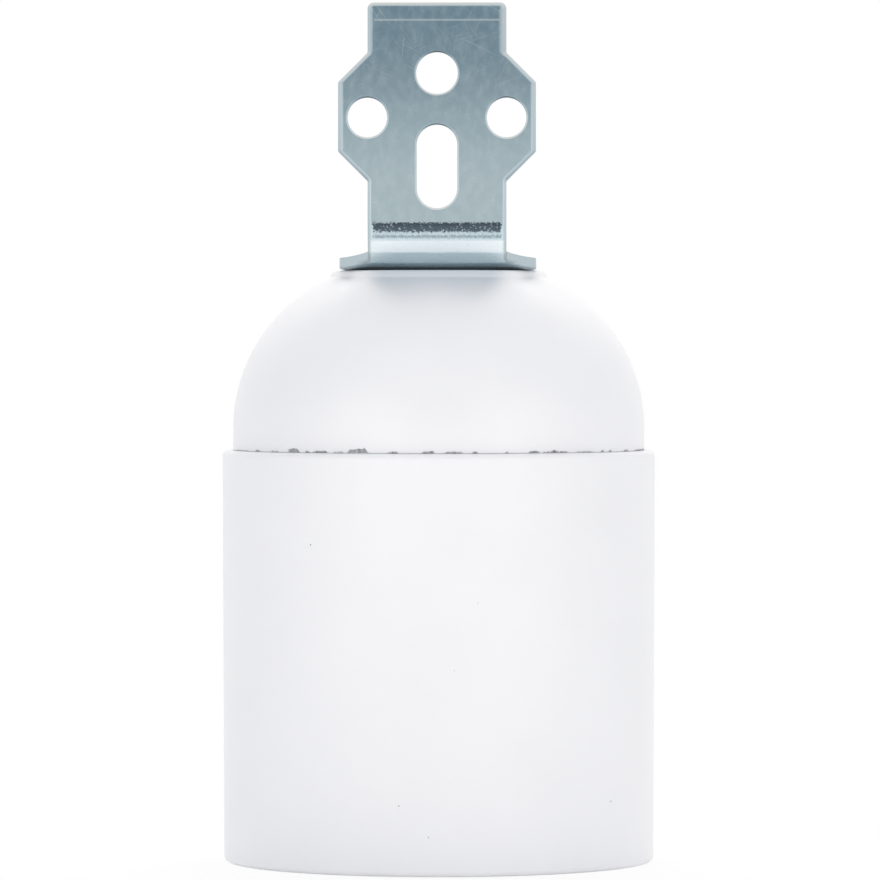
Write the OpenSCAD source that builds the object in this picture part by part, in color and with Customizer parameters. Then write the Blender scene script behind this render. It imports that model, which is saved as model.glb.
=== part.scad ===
// Lamp holder with an E27 lamp thread: a plain moulded skirt, a domed cap screwed onto it,
// and a pressed steel L bracket held on the cap's collar by a hollow nipple and a nut.
// Millimetres. The origin is the centre of the open rim, +Z runs up to the bracket, and the
// bracket's upright plate faces -Y.

/* [Skirt] */
// How far the skirt's shoulder stands out beyond the cap
skirt_step = 1.05; // [0.8:0.05:2]
// Height of the skirt from its open rim to its shoulder
skirt_h = 41; // [39:0.5:45]
// Moulding draft: how much narrower the open rim is, on the diameter
skirt_draft = 0.3; // [0:0.05:0.8]
// Thickness of the outer wall
skirt_wall = 1.8; // [1.4:0.1:2.2]
// Thickness of the shoulder that joins the outer wall to the neck
shoulder_wall = 2; // [1.4:0.1:3]
// Rounding of the shoulder's outer edge
shoulder_round = 0.65; // [0.2:0.05:1]
// Rounding of the open rim's outer edge
rim_round = 0.6; // [0.2:0.05:0.8]
// Number of ribs between the lamp sleeve and the outer wall
rib_count = 6; // [3:1:10]
// Thickness of a rib
rib_w = 1.2; // [0.8:0.1:2]
// Distance from the sleeve's mouth to the lower end of the ribs
rib_inset = 4; // [1:0.5:10]

/* [Lamp sleeve] */
// Width of the ledge under the contact carrier; 2.3 leaves the clear 26.7 bore of an E27 thread
ledge_w = 2.3; // [2.2:0.05:2.4]
// Depth of that ledge below the shoulder
ledge_depth = 10.5; // [9:0.5:12]
// Wall outside the thread
sleeve_wall = 1.65; // [1.4:0.05:2]
// How far the sleeve's mouth lies above the open rim
sleeve_recess = 4; // [2:0.5:6]
// Length of the plain relief above the thread
relief_len = 3; // [2:0.5:4]
// Depth of that relief
relief_depth = 0.25; // [0.1:0.05:0.5]
// Lead-in chamfer at the sleeve's mouth
mouth_chamfer = 0.8; // [0.3:0.1:1.2]

/* [Neck] */
// Radial room for the screw thread between the neck and the cap
neck_gap = 0.35; // [0.25:0.05:0.5]
// Height of the neck above the shoulder
neck_h = 5.5; // [4:0.25:6]
// Thickness of the neck
neck_wall = 2; // [1.6:0.1:2.2]
// Chamfer at the neck's upper edge
neck_chamfer = 0.5; // [0.2:0.1:0.8]
// Room between the neck's upper edge and the end of the cap's threaded bore
neck_room = 0.5; // [0.3:0.1:0.8]

/* [Cap] */
// Outer diameter of the cap at the seam
cap_d = 40.9; // [40.5:0.1:41.5]
// Thickness of the cap
cap_wall = 1.9; // [1.6:0.05:2.1]
// Height of the straight wall above the seam
cap_straight = 2; // [1:0.25:3]
// Radius of the dome's arc
dome_r = 16.4; // [16:0.1:16.8]
// Diameter of the top face of the collar that carries the bracket, before its edge is rounded
collar_d = 21; // [20:0.1:22]
// Angle by which the collar's side leans in
collar_draft = 26; // [5:1:30]
// Height of the cap from the seam to the collar's top
cap_h = 17.65; // [17.5:0.05:18.1]
// Fillet between the collar and the dome
collar_fillet = 0.5; // [0.2:0.05:0.8]
// Rounding of the collar's upper edge
collar_round = 0.45; // [0.1:0.05:0.6]
// Diameter of the boss inside, round the nipple's thread
boss_d = 15; // [14:0.5:17]
// Height of the nipple's thread in the cap
boss_len = 3.9; // [3:0.1:4.1]
// Number of ribs inside that press on the contact carrier
stop_count = 4; // [2:2:8]
// Thickness of such a rib
stop_w = 1.6; // [1:0.1:2.4]
// Radial width of a rib's foot on the carrier
stop_foot = 2.4; // [1.5:0.1:3]

/* [Bracket] */
// Thickness of the steel sheet
sheet = 1.2; // [0.8:0.1:1.4]
// Height of the bracket from the flange's underside to its top edge
bracket_h = 26.2; // [24:0.2:30]
// Width across the wings
wing_w = 19.4; // [19:0.2:21.6]
// Width of the upright below and above the wings
strip_w = 13.6; // [13.2:0.1:14.5]
// Distance from the holder's axis to the upright's outer face
plate_offset = 9.8; // [9.4:0.1:10.4]
// Outer radius of the bend
bend_r = 4.7; // [4.3:0.1:4.9]
// Height of the wings' lower corners above the flange's underside
wing_low = 11.6; // [11:0.1:12]
// Height of the wings' upper corners above the flange's underside
wing_high = 18.4; // [17.8:0.1:19.2]
// Distance from the holder's axis to where the strip begins to widen into the foot
flare_start = 7.45; // [7:0.05:8]
// Distance from the holder's axis to where the foot has its full width
flare_end = 5.65; // [5.2:0.05:6]
// Rounding of the outline's outer corners
corner_round = 0.45; // [0.2:0.05:0.8]
// Rounding of the outline's inner corners
notch_round = 0.7; // [0.3:0.05:1]
// Diameter of the upper hole
top_hole_d = 4.1; // [3.8:0.1:4.6]
// Height of the upper hole
top_hole_z = 19.3; // [19:0.05:20.2]
// Diameter of the two side holes
side_hole_d = 3.9; // [3.6:0.1:4.4]
// Height of the side holes
side_hole_z = 14.95; // [14.6:0.05:15.4]
// Distance from a side hole's centre to the wing's edge
side_hole_inset = 2.875; // [2.7:0.025:3.2]
// Width of the slot
slot_w = 4; // [3.8:0.1:4.4]
// Length of the slot, end to end
slot_len = 8.2; // [7.5:0.1:8.6]
// Height of the slot's centre
slot_z = 10.15; // [9.8:0.05:10.4]

/* [Nipple and nut] */
// Outer diameter of the nipple's thread
nipple_d = 9.9; // [9.5:0.1:9.9]
// Wall of the nipple, round the bore that the flex runs through
nipple_wall = 1.2; // [1:0.1:1.7]
// Length of the nipple
nipple_len = 10; // [9:0.25:10]
// How far the nipple reaches below the boss
nipple_below = 1; // [0.25:0.25:1]
// Chamfer at the nipple's ends
nipple_chamfer = 0.5; // [0.2:0.1:0.8]
// Width across the nut's flats
nut_flats = 13; // [12.6:0.1:13]
// Height of the nut
nut_h = 3; // [2.5:0.1:3.2]
// How far the 30 degree chamfer cuts into the nut's flats
nut_chamfer = 0.65; // [0.4:0.05:0.8]

/* [Contact carrier] */
// Height of the wiring room between the ceramic carrier and the boss
wiring_room = 6; // [5.8:0.1:6.6]
// Thickness of the carrier's wall round the hollow that faces the lamp
carrier_wall = 2.2; // [1.9:0.1:2.4]
// Depth of that hollow
hollow_depth = 7.5; // [7.2:0.1:7.8]
// Length of a terminal's chamber, across the holder
chamber_len = 16; // [14:0.5:17]
// Width of the wiring groove between the chambers
groove_w = 5; // [3:0.5:6]
// Depth of the wiring groove
groove_depth = 4; // [2:0.5:5]
// Chamfer at the carrier's upper edge
carrier_chamfer = 0.6; // [0.2:0.1:1]

/* [Contacts] */
// Thickness of the spring leaf
leaf_t = 0.4; // [0.3:0.05:0.5]
// Width of a contact at its screw
leaf_w = 6; // [5.6:0.1:6.5]
// Radius of the bend beside a contact's flat end
leaf_bend = 1; // [0.8:0.1:1.2]
// How far the centre contact's tip hangs below the leaf's flat end
centre_drop = 3.6; // [3.2:0.1:4]
// Radius of that tip
tip_r = 2; // [1.6:0.1:2.2]
// Length of the centre contact's turned-up free end
lip_len = 2.4; // [1.5:0.1:2.6]
// Length of the side contact's tongue, measured downwards
tongue_len = 8.2; // [7:0.1:8.4]
// How far the tongue leans towards the axis
tongue_lean = 1.3; // [0.8:0.1:1.8]
// Angle by which the tongue's end curls in
tongue_curl = 55; // [30:5:70]
// Room above a contact's flat end for its flexing
flex_room = 0.65; // [0.6:0.05:0.9]

/* [Terminals] */
// Distance from a terminal's centre to the carrier's outer surface
terminal_inset = 7.4; // [7.2:0.1:7.6]
// Width of a terminal block
terminal_w = 7; // [6.6:0.1:7]
// Length of a terminal block, along its wire hole
terminal_len = 9; // [8:0.5:10]
// Height of a terminal block
terminal_h = 7; // [6.6:0.1:7.2]
// Diameter of the wire hole
wire_d = 3; // [2.4:0.1:3.2]
// Height of the wire hole's axis above the block's foot
wire_z = 2.7; // [2.6:0.1:3]
// Thread diameter of the clamping screws
clamp_d = 3.4; // [3:0.1:3.6]
// Head diameter of the clamping screws
clamp_head_d = 6.2; // [5.6:0.1:6.4]
// Head height of the clamping screws
clamp_head_h = 2; // [1.6:0.1:2.2]
// Gap between a clamping screw's head and its block when the screw is done up
clamp_stand = 1.2; // [0.8:0.1:1.4]
// Thread diameter of the screws that hold the contacts
fix_d = 2.9; // [2.6:0.1:3]
// Head diameter of those screws
fix_head_d = 5.2; // [4.8:0.1:5.4]
// Head height of those screws
fix_head_h = 1.5; // [1.2:0.1:1.7]
// Width of the screwdriver slots
drive_w = 0.8; // [0.6:0.05:1]
// Depth of the screwdriver slots
drive_depth = 0.9; // [0.6:0.05:1]

/* [Fits] */
// Seam between the cap and the shoulder, and between the carrier and its ledge
seat_gap = 0.05; // [0.03:0.01:0.1]
// Radial gap between the carrier and the neck
carrier_gap = 0.3; // [0.2:0.05:0.4]
// Radial gap of a screw or the nipple in its thread
thread_gap = 0.05; // [0.02:0.01:0.1]
// Gap round the nipple in the bracket and round a screw in a plain hole
hole_gap = 0.15; // [0.1:0.05:0.25]
// Gap round a terminal block in its chamber
chamber_gap = 0.1; // [0.05:0.05:0.2]

/* [Hidden] */
$fn = 96;

// Facets of a rounded corner, how far a cut reaches past a surface, and a small overlap for joins
corner_steps = 5;
over = 1;
eps = 0.01;
white = "#f0eff2";
zinc = "#9fb4bf";
ceramic = "#ece8dd";
bronze = "#c8955a";
brass = "#cfae5f";
steel = "#b9bcc0";

cap_r = cap_d / 2;
cap_in_r = cap_r - cap_wall;
skirt_r = cap_r + skirt_step;
rim_r = skirt_r - skirt_draft / 2;
neck_r = cap_in_r - neck_gap;
neck_in_r = neck_r - neck_wall;
carrier_r = neck_in_r - carrier_gap;
relief_r = carrier_r - ledge_w;
thread_r = relief_r - relief_depth;
sleeve_r = relief_r + sleeve_wall;

neck_top = skirt_h + neck_h;
ledge_z = skirt_h - ledge_depth;
thread_top = ledge_z - relief_len;

cap_z = skirt_h + seat_gap;
cap_top = cap_z + cap_h;
dome_x = cap_r - dome_r;
dome_z = cap_z + cap_straight;
collar_r = collar_d / 2;
boss_z = cap_top - boss_len;
bore_top = neck_top + neck_room;

flange_top = cap_top + sheet;
wing_r = wing_w / 2;
strip_r = strip_w / 2;
wing_step = wing_r - strip_r;

nipple_r = nipple_d / 2;
nipple_z = boss_z - nipple_below;

carrier_z = ledge_z + seat_gap;
carrier_top = boss_z - wiring_room;
hollow_r = carrier_r - carrier_wall;
hollow_top = carrier_z + hollow_depth;
terminal_x = carrier_r - terminal_inset;
chamber_z = carrier_top - terminal_h;

leaf_top = hollow_top - flex_room;
leaf_z = leaf_top - leaf_t / 2;
leaf_out = terminal_x + leaf_w / 2;
leaf_in = terminal_x - leaf_w / 2;
fix_top = chamber_z + wire_z - wire_d / 2 - thread_gap;
wire_axis = chamber_z + wire_z;

// Points of an arc from angle a to angle b
function arc(c, r, a, b, n = corner_steps) =
    [for (i = [0 : n]) let (t = a + (b - a) * i / n) [c[0] + r * cos(t), c[1] + r * sin(t)]];

// Unit vector from one point to another
function way(p, q) = (q - p) / norm(q - p);

// Points of one corner of an outline, rounded by radius most or as far as its sides allow
function rounded(p, c, q, most) =
    let (
        u = way(c, p), v = way(c, q),
        half = acos(u * v) / 2,
        r = min(most, min(norm(p - c), norm(q - c)) / 2 * tan(half)),
        m = c + (u + v) / norm(u + v) * r / sin(half),
        s = c + u * r / tan(half) - m,
        e = c + v * r / tan(half) - m,
        a = atan2(s[1], s[0]),
        turn = atan2(s[0] * e[1] - s[1] * e[0], s * e)
    )
    arc(m, r, a, a + turn);

// A closed outline with each corner rounded by its own radius
function outline(points, radii) =
    let (n = len(points))
    [for (i = [0 : n - 1])
        each rounded(points[(i + n - 1) % n], points[i], points[(i + 1) % n], radii[i])];

// A bent strip's side view: the points of its middle line, thickened to both sides
function bent(path, t) =
    let (
        n = len(path),
        side = [for (i = [0 : n - 1])
            let (d = way(path[max(i - 1, 0)], path[min(i + 1, n - 1)])) [-d[1], d[0]] * t / 2]
    )
    concat(
        [for (i = [0 : n - 1]) path[i] + side[i]],
        [for (i = [n - 1 : -1 : 0]) path[i] - side[i]]
    );

// The corner that a rounding of radius r takes away, at the origin
module round_off(r) {
    translate([-r, -r]) difference() {
        square(r + eps);
        circle(r);
    }
}

// A side view in X and Z, given width w in Y
module across(w) {
    rotate([90, 0, 0]) linear_extrude(w, center = true) children();
}

// Section of the skirt, from the rim's inner edge round the outside and back up the inside
module skirt_section() {
    wall_in = skirt_r - skirt_wall;
    polygon(concat(
        [[rim_r - skirt_wall, 0]],
        arc([rim_r - rim_round, rim_round], rim_round, -90, 0),
        arc([skirt_r - shoulder_round, skirt_h - shoulder_round], shoulder_round, 0, 90),
        [
            [neck_r, skirt_h],
            [neck_r, neck_top - neck_chamfer],
            [neck_r - neck_chamfer, neck_top],
            [neck_in_r, neck_top],
            [neck_in_r, ledge_z],
            [relief_r, ledge_z],
            [relief_r, thread_top],
            [thread_r, thread_top],
            [thread_r, sleeve_recess + mouth_chamfer],
            [thread_r + mouth_chamfer, sleeve_recess],
            [sleeve_r, sleeve_recess],
            [sleeve_r, ledge_z - (neck_r - sleeve_r)],
            [neck_r, ledge_z],
            [neck_r, skirt_h - shoulder_wall],
            [wall_in, skirt_h - shoulder_wall]
        ]
    ));
}

module skirt() {
    rib_z = sleeve_recess + rib_inset;
    rib_top = skirt_h - shoulder_wall / 2;
    rib_in = sleeve_r - sleeve_wall / 2;
    rib_neck = neck_r - neck_wall / 2;
    rib_out = rim_r - skirt_wall / 2;
    color(white) union() {
        rotate_extrude() skirt_section();
        for (i = [0 : rib_count - 1])
            rotate(i * 360 / rib_count) across(rib_w) polygon([
                [rib_in, rib_z], [rib_out, rib_z], [rib_out, rib_top], [rib_neck, rib_top],
                [rib_neck, ledge_z], [rib_in, ledge_z - (rib_neck - rib_in)]
            ]);
    }
}

// Everything inside the dome's surface, which lies d within the cap's outer face
module dome_area(d) {
    intersection() {
        union() {
            translate([dome_x, dome_z]) circle(dome_r - d);
            translate([0, cap_z - eps]) square([cap_r - d, cap_straight + eps]);
        }
        translate([0, cap_z - (d > 0 ? eps : 0)]) square([cap_r, cap_h]);
    }
}

// The collar, leaning in, and the fillet round its foot, no higher than the collar's top
module collar_area() {
    dome = [dome_x, dome_z];
    edge = [collar_r, cap_top];
    down = [sin(collar_draft), -cos(collar_draft)];
    low = edge + down * (cap_top - dome_z) / cos(collar_draft);
    start = edge + collar_fillet * [cos(collar_draft), sin(collar_draft)] - dome;
    reach = dome_r + collar_fillet;
    slide = -start * down - sqrt(pow(start * down, 2) - start * start + reach * reach);
    centre = dome + start + slide * down;
    foot = edge + slide * down;
    touch = dome + (centre - dome) * dome_r / reach;
    polygon(concat(
        [[0, dome_z], low], rounded(low, edge, [0, cap_top], collar_round), [[0, cap_top]]
    ));
    intersection() {
        square([cap_r, cap_top]);
        difference() {
            polygon([foot, centre, touch, foot + collar_fillet * down]);
            translate(centre) circle(collar_fillet);
        }
    }
}

module cap() {
    entry_r = nipple_r + thread_gap;
    color(white) union() {
        rotate_extrude() difference() {
            union() {
                dome_area(0);
                collar_area();
            }
            difference() {
                union() {
                    dome_area(cap_wall);
                    translate([0, cap_z - eps]) square([cap_in_r, bore_top - cap_z + eps]);
                }
                translate([0, boss_z]) square([boss_d / 2, cap_top]);
            }
            translate([0, cap_z - eps]) square([entry_r, cap_h + 2 * eps]);
        }
        intersection() {
            rotate_extrude() difference() {
                union() {
                    translate([0, carrier_top]) square([carrier_r, cap_h]);
                    translate([0, max(carrier_top, bore_top)]) square([cap_r, cap_h]);
                }
                translate([0, cap_z]) square([carrier_r - stop_foot, 2 * cap_h]);
            }
            rotate_extrude() dome_area(cap_wall / 2);
            for (i = [0 : stop_count - 1])
                rotate((i + 0.5) * 360 / stop_count)
                    translate([0, -stop_w / 2, cap_z]) cube([cap_r, stop_w, cap_h]);
        }
    }
}

// The upright's outline in X and Z, up from the bend
module plate_outline() {
    top = cap_top + bracket_h;
    low = cap_top + wing_low;
    high = cap_top + wing_high;
    foot = cap_top + bend_r;
    right = [
        [strip_r, foot], [strip_r, low - wing_step], [wing_r, low],
        [wing_r, high], [strip_r, high + wing_step], [strip_r, top]
    ];
    turns = [eps, notch_round, corner_round, corner_round, notch_round, corner_round];
    left = [for (i = [len(right) - 1 : -1 : 0]) [-right[i][0], right[i][1]]];
    back = [for (i = [len(turns) - 1 : -1 : 0]) turns[i]];
    polygon(outline(concat(right, left), concat(turns, back)));
}

// The foot seen from above: as wide as the strip, then widening to a round end on the collar
module foot_outline() {
    circle(wing_r);
    polygon([
        [-strip_r, -plate_offset - over], [strip_r, -plate_offset - over],
        [strip_r, -flare_start], [wing_r, -flare_end], [wing_r, 0],
        [-wing_r, 0], [-wing_r, -flare_end], [-strip_r, -flare_start]
    ]);
}

// The bracket's side view in Y and Z, grown behind and above a surface d inside the sheet
module behind(d) {
    translate([d - plate_offset, cap_top + d]) difference() {
        square([plate_offset + wing_r + over, bracket_h + over]);
        rotate(180) round_off(bend_r - d);
    }
}

module bracket() {
    color(zinc) difference() {
        intersection() {
            rotate([90, 0, 90]) linear_extrude(wing_w + 2 * over, center = true) difference() {
                behind(0);
                behind(sheet);
            }
            union() {
                translate([0, sheet + over - plate_offset, 0])
                    rotate([90, 0, 0]) linear_extrude(sheet + 2 * over) plate_outline();
                translate([0, 0, cap_top - over])
                    linear_extrude(bend_r + 2 * over) foot_outline();
            }
        }
        translate([0, 0, cap_top - over])
            cylinder(h = sheet + 2 * over, r = nipple_r + hole_gap);
        translate([0, -plate_offset - over, cap_top]) {
            translate([0, 0, top_hole_z]) drill(top_hole_d);
            for (side = [-1, 1])
                translate([side * (wing_r - side_hole_inset), 0, side_hole_z]) drill(side_hole_d);
            for (end = [-1, 1])
                translate([0, 0, slot_z + end * (slot_len - slot_w) / 2]) drill(slot_w);
            translate([-slot_w / 2, 0, slot_z - (slot_len - slot_w) / 2])
                cube([slot_w, sheet + 2 * over, slot_len - slot_w]);
        }
    }
}

// A drill through the upright, pointing along +Y
module drill(d) {
    rotate([-90, 0, 0]) cylinder(h = sheet + 2 * over, d = d);
}

module nipple() {
    r = nipple_r;
    c = nipple_chamfer;
    b = r - nipple_wall;
    color(zinc) translate([0, 0, nipple_z]) rotate_extrude() polygon([
        [b, 0], [r - c, 0], [r, c], [r, nipple_len - c], [r - c, nipple_len], [b, nipple_len]
    ]);
}

module nut() {
    face_r = nut_flats / 2 - nut_chamfer;
    corner_r = nut_flats / sqrt(3);
    rise = (corner_r - face_r) * tan(30);
    color(zinc) translate([0, 0, flange_top]) difference() {
        intersection() {
            cylinder(h = nut_h, r = corner_r, $fn = 6);
            rotate_extrude() polygon([
                [0, 0], [face_r, 0], [corner_r, rise], [corner_r, nut_h - rise],
                [face_r, nut_h], [0, nut_h]
            ]);
        }
        translate([0, 0, -over]) cylinder(h = nut_h + 2 * over, r = nipple_r + thread_gap);
    }
}

// The ceramic insert: a cup towards the lamp, and two open chambers for the terminals above
module contact_carrier() {
    chamber_w = terminal_w + 2 * chamber_gap;
    carrier_h = carrier_top - carrier_z;
    color(ceramic) difference() {
        translate([0, 0, carrier_z]) rotate_extrude() polygon([
            [0, 0], [carrier_r, 0], [carrier_r, carrier_h - carrier_chamfer],
            [carrier_r - carrier_chamfer, carrier_h], [0, carrier_h]
        ]);
        translate([0, 0, carrier_z - over]) cylinder(h = hollow_depth + over, r = hollow_r);
        for (side = [-1, 1]) {
            translate([side * terminal_x - chamber_w / 2, -chamber_len / 2, chamber_z])
                cube([chamber_w, chamber_len, terminal_h + over]);
            translate([side * terminal_x, 0, hollow_top - over])
                cylinder(h = chamber_z - hollow_top + 2 * over, d = fix_d + 2 * hole_gap);
        }
        translate([-groove_w / 2, -carrier_r, carrier_top - groove_depth])
            cube([groove_w, 2 * carrier_r, groove_depth + over]);
    }
}

// Seen from above, a contact's blade: square at the free end and round at its screw
module blade(free_x) {
    half = leaf_w / 2;
    translate([terminal_x, 0]) circle(half);
    translate([min(free_x, terminal_x), -half]) square([abs(terminal_x - free_x), leaf_w]);
}

// A hole for the contact's screw, with room for the leaf to tilt
module screw_hole() {
    translate([terminal_x, 0, leaf_top - over])
        cylinder(h = 2 * over, d = fix_d + 4 * hole_gap);
}

module centre_contact() {
    tip_z = leaf_z - centre_drop;
    knee = leaf_in - hole_gap;
    free = (tip_r + lip_len) / sqrt(2);
    path = concat(
        [[leaf_out, leaf_z]],
        arc([knee, leaf_z - leaf_bend], leaf_bend, 90, 135, 3),
        arc([0, tip_z + tip_r], tip_r, -45, -135, 8),
        [[-free, tip_z + tip_r + (lip_len - tip_r) / sqrt(2)]]
    );
    color(bronze) difference() {
        intersection() {
            across(leaf_w) polygon(bent(path, leaf_t));
            translate([0, 0, tip_z - over]) linear_extrude(centre_drop + 2 * over) blade(-free - over);
        }
        screw_hole();
    }
}

module side_contact() {
    heel = hollow_r - 2 * carrier_gap - leaf_t - leaf_bend;
    curl_x = heel + 2 * leaf_bend - tongue_lean;
    path = concat(
        [[leaf_in, leaf_z]],
        arc([heel, leaf_z - leaf_bend], leaf_bend, 90, 0),
        arc([curl_x, leaf_z - tongue_len + leaf_bend], leaf_bend, 180, 180 + tongue_curl, 3)
    );
    color(bronze) mirror([1, 0, 0]) difference() {
        across(leaf_w) polygon(bent(path, leaf_t));
        screw_hole();
    }
}

// A brass block with its wire hole along Y, a clamping thread above and a fixing thread below
module terminal(side) {
    color(brass) translate([side * terminal_x, 0, chamber_z]) difference() {
        translate([-terminal_w / 2, -terminal_len / 2, 0])
            cube([terminal_w, terminal_len, terminal_h]);
        translate([0, 0, wire_z]) rotate([90, 0, 0])
            cylinder(h = terminal_len + 2 * over, d = wire_d, center = true);
        translate([0, 0, wire_z]) cylinder(h = terminal_h, r = clamp_d / 2 + thread_gap);
        translate([0, 0, -over]) cylinder(h = wire_z + over, r = fix_d / 2 + thread_gap);
    }
}

module live_terminal() {
    terminal(1);
}

module neutral_terminal() {
    terminal(-1);
}

// A slotted screw with a flat head at z = 0 and above, and its shank below
module screw(d, head_d, head_h, length) {
    difference() {
        union() {
            cylinder(h = head_h, d = head_d);
            translate([0, 0, -length]) cylinder(h = length + eps, d = d);
        }
        translate([-head_d / 2 - over, -drive_w / 2, head_h - drive_depth])
            cube([head_d + 2 * over, drive_w, drive_depth + over]);
    }
}

module clamp_screw(side) {
    head_z = carrier_top + clamp_stand;
    color(steel) translate([side * terminal_x, 0, head_z])
        screw(clamp_d, clamp_head_d, clamp_head_h, head_z - wire_axis);
}

module live_clamp_screw() {
    clamp_screw(1);
}

module neutral_clamp_screw() {
    clamp_screw(-1);
}

module contact_screw(side) {
    head_z = leaf_top - leaf_t - seat_gap;
    color(steel) translate([side * terminal_x, 0, head_z]) mirror([0, 0, 1])
        screw(fix_d, fix_head_d, fix_head_h, fix_top - head_z);
}

module centre_contact_screw() {
    contact_screw(1);
}

module side_contact_screw() {
    contact_screw(-1);
}

skirt();
cap();
bracket();
nipple();
nut();
contact_carrier();
centre_contact();
side_contact();
live_terminal();
neutral_terminal();
live_clamp_screw();
neutral_clamp_screw();
centre_contact_screw();
side_contact_screw();
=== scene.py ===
from math import acos, asin, atan2, cos, degrees, hypot, pi, radians, sin, sqrt, tau

import bmesh
import bpy
from mathutils import Matrix, Vector, noise


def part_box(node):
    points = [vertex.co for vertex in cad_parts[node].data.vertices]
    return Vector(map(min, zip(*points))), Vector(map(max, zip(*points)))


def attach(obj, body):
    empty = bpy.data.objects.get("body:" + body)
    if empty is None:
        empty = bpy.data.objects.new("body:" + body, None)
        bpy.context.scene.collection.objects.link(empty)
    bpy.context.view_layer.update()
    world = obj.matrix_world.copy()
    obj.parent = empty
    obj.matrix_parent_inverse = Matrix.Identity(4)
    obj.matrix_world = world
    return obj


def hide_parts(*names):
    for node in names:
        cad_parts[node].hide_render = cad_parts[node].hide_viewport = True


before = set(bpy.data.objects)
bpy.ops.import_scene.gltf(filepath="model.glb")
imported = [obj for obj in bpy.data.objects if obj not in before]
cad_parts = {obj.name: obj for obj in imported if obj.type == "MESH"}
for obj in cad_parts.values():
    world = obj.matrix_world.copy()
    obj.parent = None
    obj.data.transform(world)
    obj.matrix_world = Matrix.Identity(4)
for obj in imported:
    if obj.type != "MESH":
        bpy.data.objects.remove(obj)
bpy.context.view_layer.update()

# Skirt: the outer shell with the lamp sleeve and the neck, injection moulded in one piece from
# white glass-filled thermoplastic. The polished tool leaves a satin skin with a faint orange
# peel, rounded edges and a little draft, and a few scorched grains show as specks.
MM = 0.001
TURN_STEPS = 288
SEAM = 0.05
skirt_low, skirt_high = (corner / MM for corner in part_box("skirt"))
cap_low, cap_high = (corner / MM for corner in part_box("cap"))
carrier_low, carrier_high = (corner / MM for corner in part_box("contact_carrier"))

SHOULDER = cap_low.z - SEAM - 0.13
SKIRT_R = skirt_high.x
RIM_R = SKIRT_R - 0.15
SKIRT_WALL = 1.8
SHOULDER_WALL = 2.0
SHOULDER_ROUND = 0.55
RIM_ROUND = 0.6
NECK_TOP = skirt_high.z
NECK_WALL = 2.0
LEDGE = carrier_low.z - SEAM
NECK_IN_R = carrier_high.x + 0.3
NECK_R = NECK_IN_R + NECK_WALL
THREAD_R = 13.35
RELIEF_R = 13.6
RELIEF_LOW = LEDGE - 3.0
SLEEVE_R = 15.25
SLEEVE_LOW = 4.0
RIB_COUNT = 6
RIB_HALF = 0.6
RIB_LOW = 8.0
# Places of the specks: angle round the skirt from straight ahead, height and radius
SPECKS = [(-34.3, 32.0, 0.09), (11.2, 26.5, 0.05), (5.1, 20.0, 0.05),
          (-9.3, 6.9, 0.07), (-1.6, 3.9, 0.07), (52.9, 6.8, 0.09)]


def arc(centre, radius, start, end, steps=6):
    """Points of an arc in a section, from one angle in degrees to another."""
    turns = [radians(start + (end - start) * i / steps) for i in range(steps + 1)]
    return [(centre[0] + radius * cos(a), centre[1] + radius * sin(a)) for a in turns]


def spin_section(bm, section, steps=TURN_STEPS):
    """Spins a closed section, given as radius and height, about the holder's axis."""
    verts = [bm.verts.new((r, 0, z)) for r, z in section]
    edges = [bm.edges.new(pair) for pair in zip(verts, verts[1:] + verts[:1])]
    bmesh.ops.spin(bm, geom=verts + edges, axis=(0, 0, 1), cent=(0, 0, 0), angle=tau,
                   steps=steps, use_merge=True)


def helix(bm, root, crest, pitch, low, high, buried, shape, steps=60):
    """Winds a thread's ridge, open to the core it is buried in, and lets both its ends run out."""
    turns = (high - low) / pitch - 1
    back = root + buried
    others = set(bm.verts)
    points = [(root + (crest - root) * up, (along - 0.5) * pitch) for along, up in shape]
    points += [(back, points[-1][1]), (back, points[0][1])]
    verts = [bm.verts.new((r, 0, low + pitch / 2 + z)) for r, z in points]
    edges = [bm.edges.new(pair) for pair in zip(verts, verts[1:] + verts[:1])]
    first = bmesh.ops.contextual_create(bm, geom=edges)["faces"]
    count = round(turns * steps)
    bmesh.ops.spin(bm, geom=first + edges + verts, axis=(0, 0, 1), cent=(0, 0, 0),
                   angle=tau * turns, dvec=(0, 0, pitch / steps), steps=count)
    for vert in set(bm.verts) - others:
        r = hypot(vert.co.x, vert.co.y)
        if (r - root) * (crest - root) < 1e-4:
            continue
        fade = min(1, max(0, (vert.co.z - low) / pitch), max(0, (high - vert.co.z) / pitch))
        kept = (root + (r - root) * fade) / r
        vert.co.x *= kept
        vert.co.y *= kept


def plate(bm, points, thickness, turn=0.0):
    """A flat rib: an outline in X and Z, thickened to both sides and turned about the axis."""
    face = bm.faces.new([bm.verts.new((x, -thickness / 2, z)) for x, z in points])
    grown = bmesh.ops.extrude_face_region(bm, geom=[face], use_keep_orig=True)["geom"]
    moved = [v for v in grown if isinstance(v, bmesh.types.BMVert)]
    bmesh.ops.translate(bm, verts=moved, vec=(0, thickness, 0))
    both = moved + list(face.verts)
    bmesh.ops.rotate(bm, verts=both, cent=(0, 0, 0), matrix=Matrix.Rotation(turn, 3, "Z"))


def linear(hex_code):
    """A colour written as sRGB hex, in the linear values that shaders take."""
    parts = [int(hex_code[i:i + 2], 16) / 255 for i in (1, 3, 5)]
    return tuple(p / 12.92 if p <= 0.04045 else ((p + 0.055) / 1.055) ** 2.4 for p in parts) + (1,)


def add(tree, kind, inputs=None, **settings):
    """Adds a shader node: its settings, then its inputs, each a value or another node's output."""
    made = tree.nodes.new("ShaderNode" + kind)
    for key, value in settings.items():
        setattr(made, key, value)
    for key, value in (inputs or {}).items():
        if isinstance(value, bpy.types.NodeSocket):
            tree.links.new(value, made.inputs[key])
        else:
            made.inputs[key].default_value = value
    return made


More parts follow.
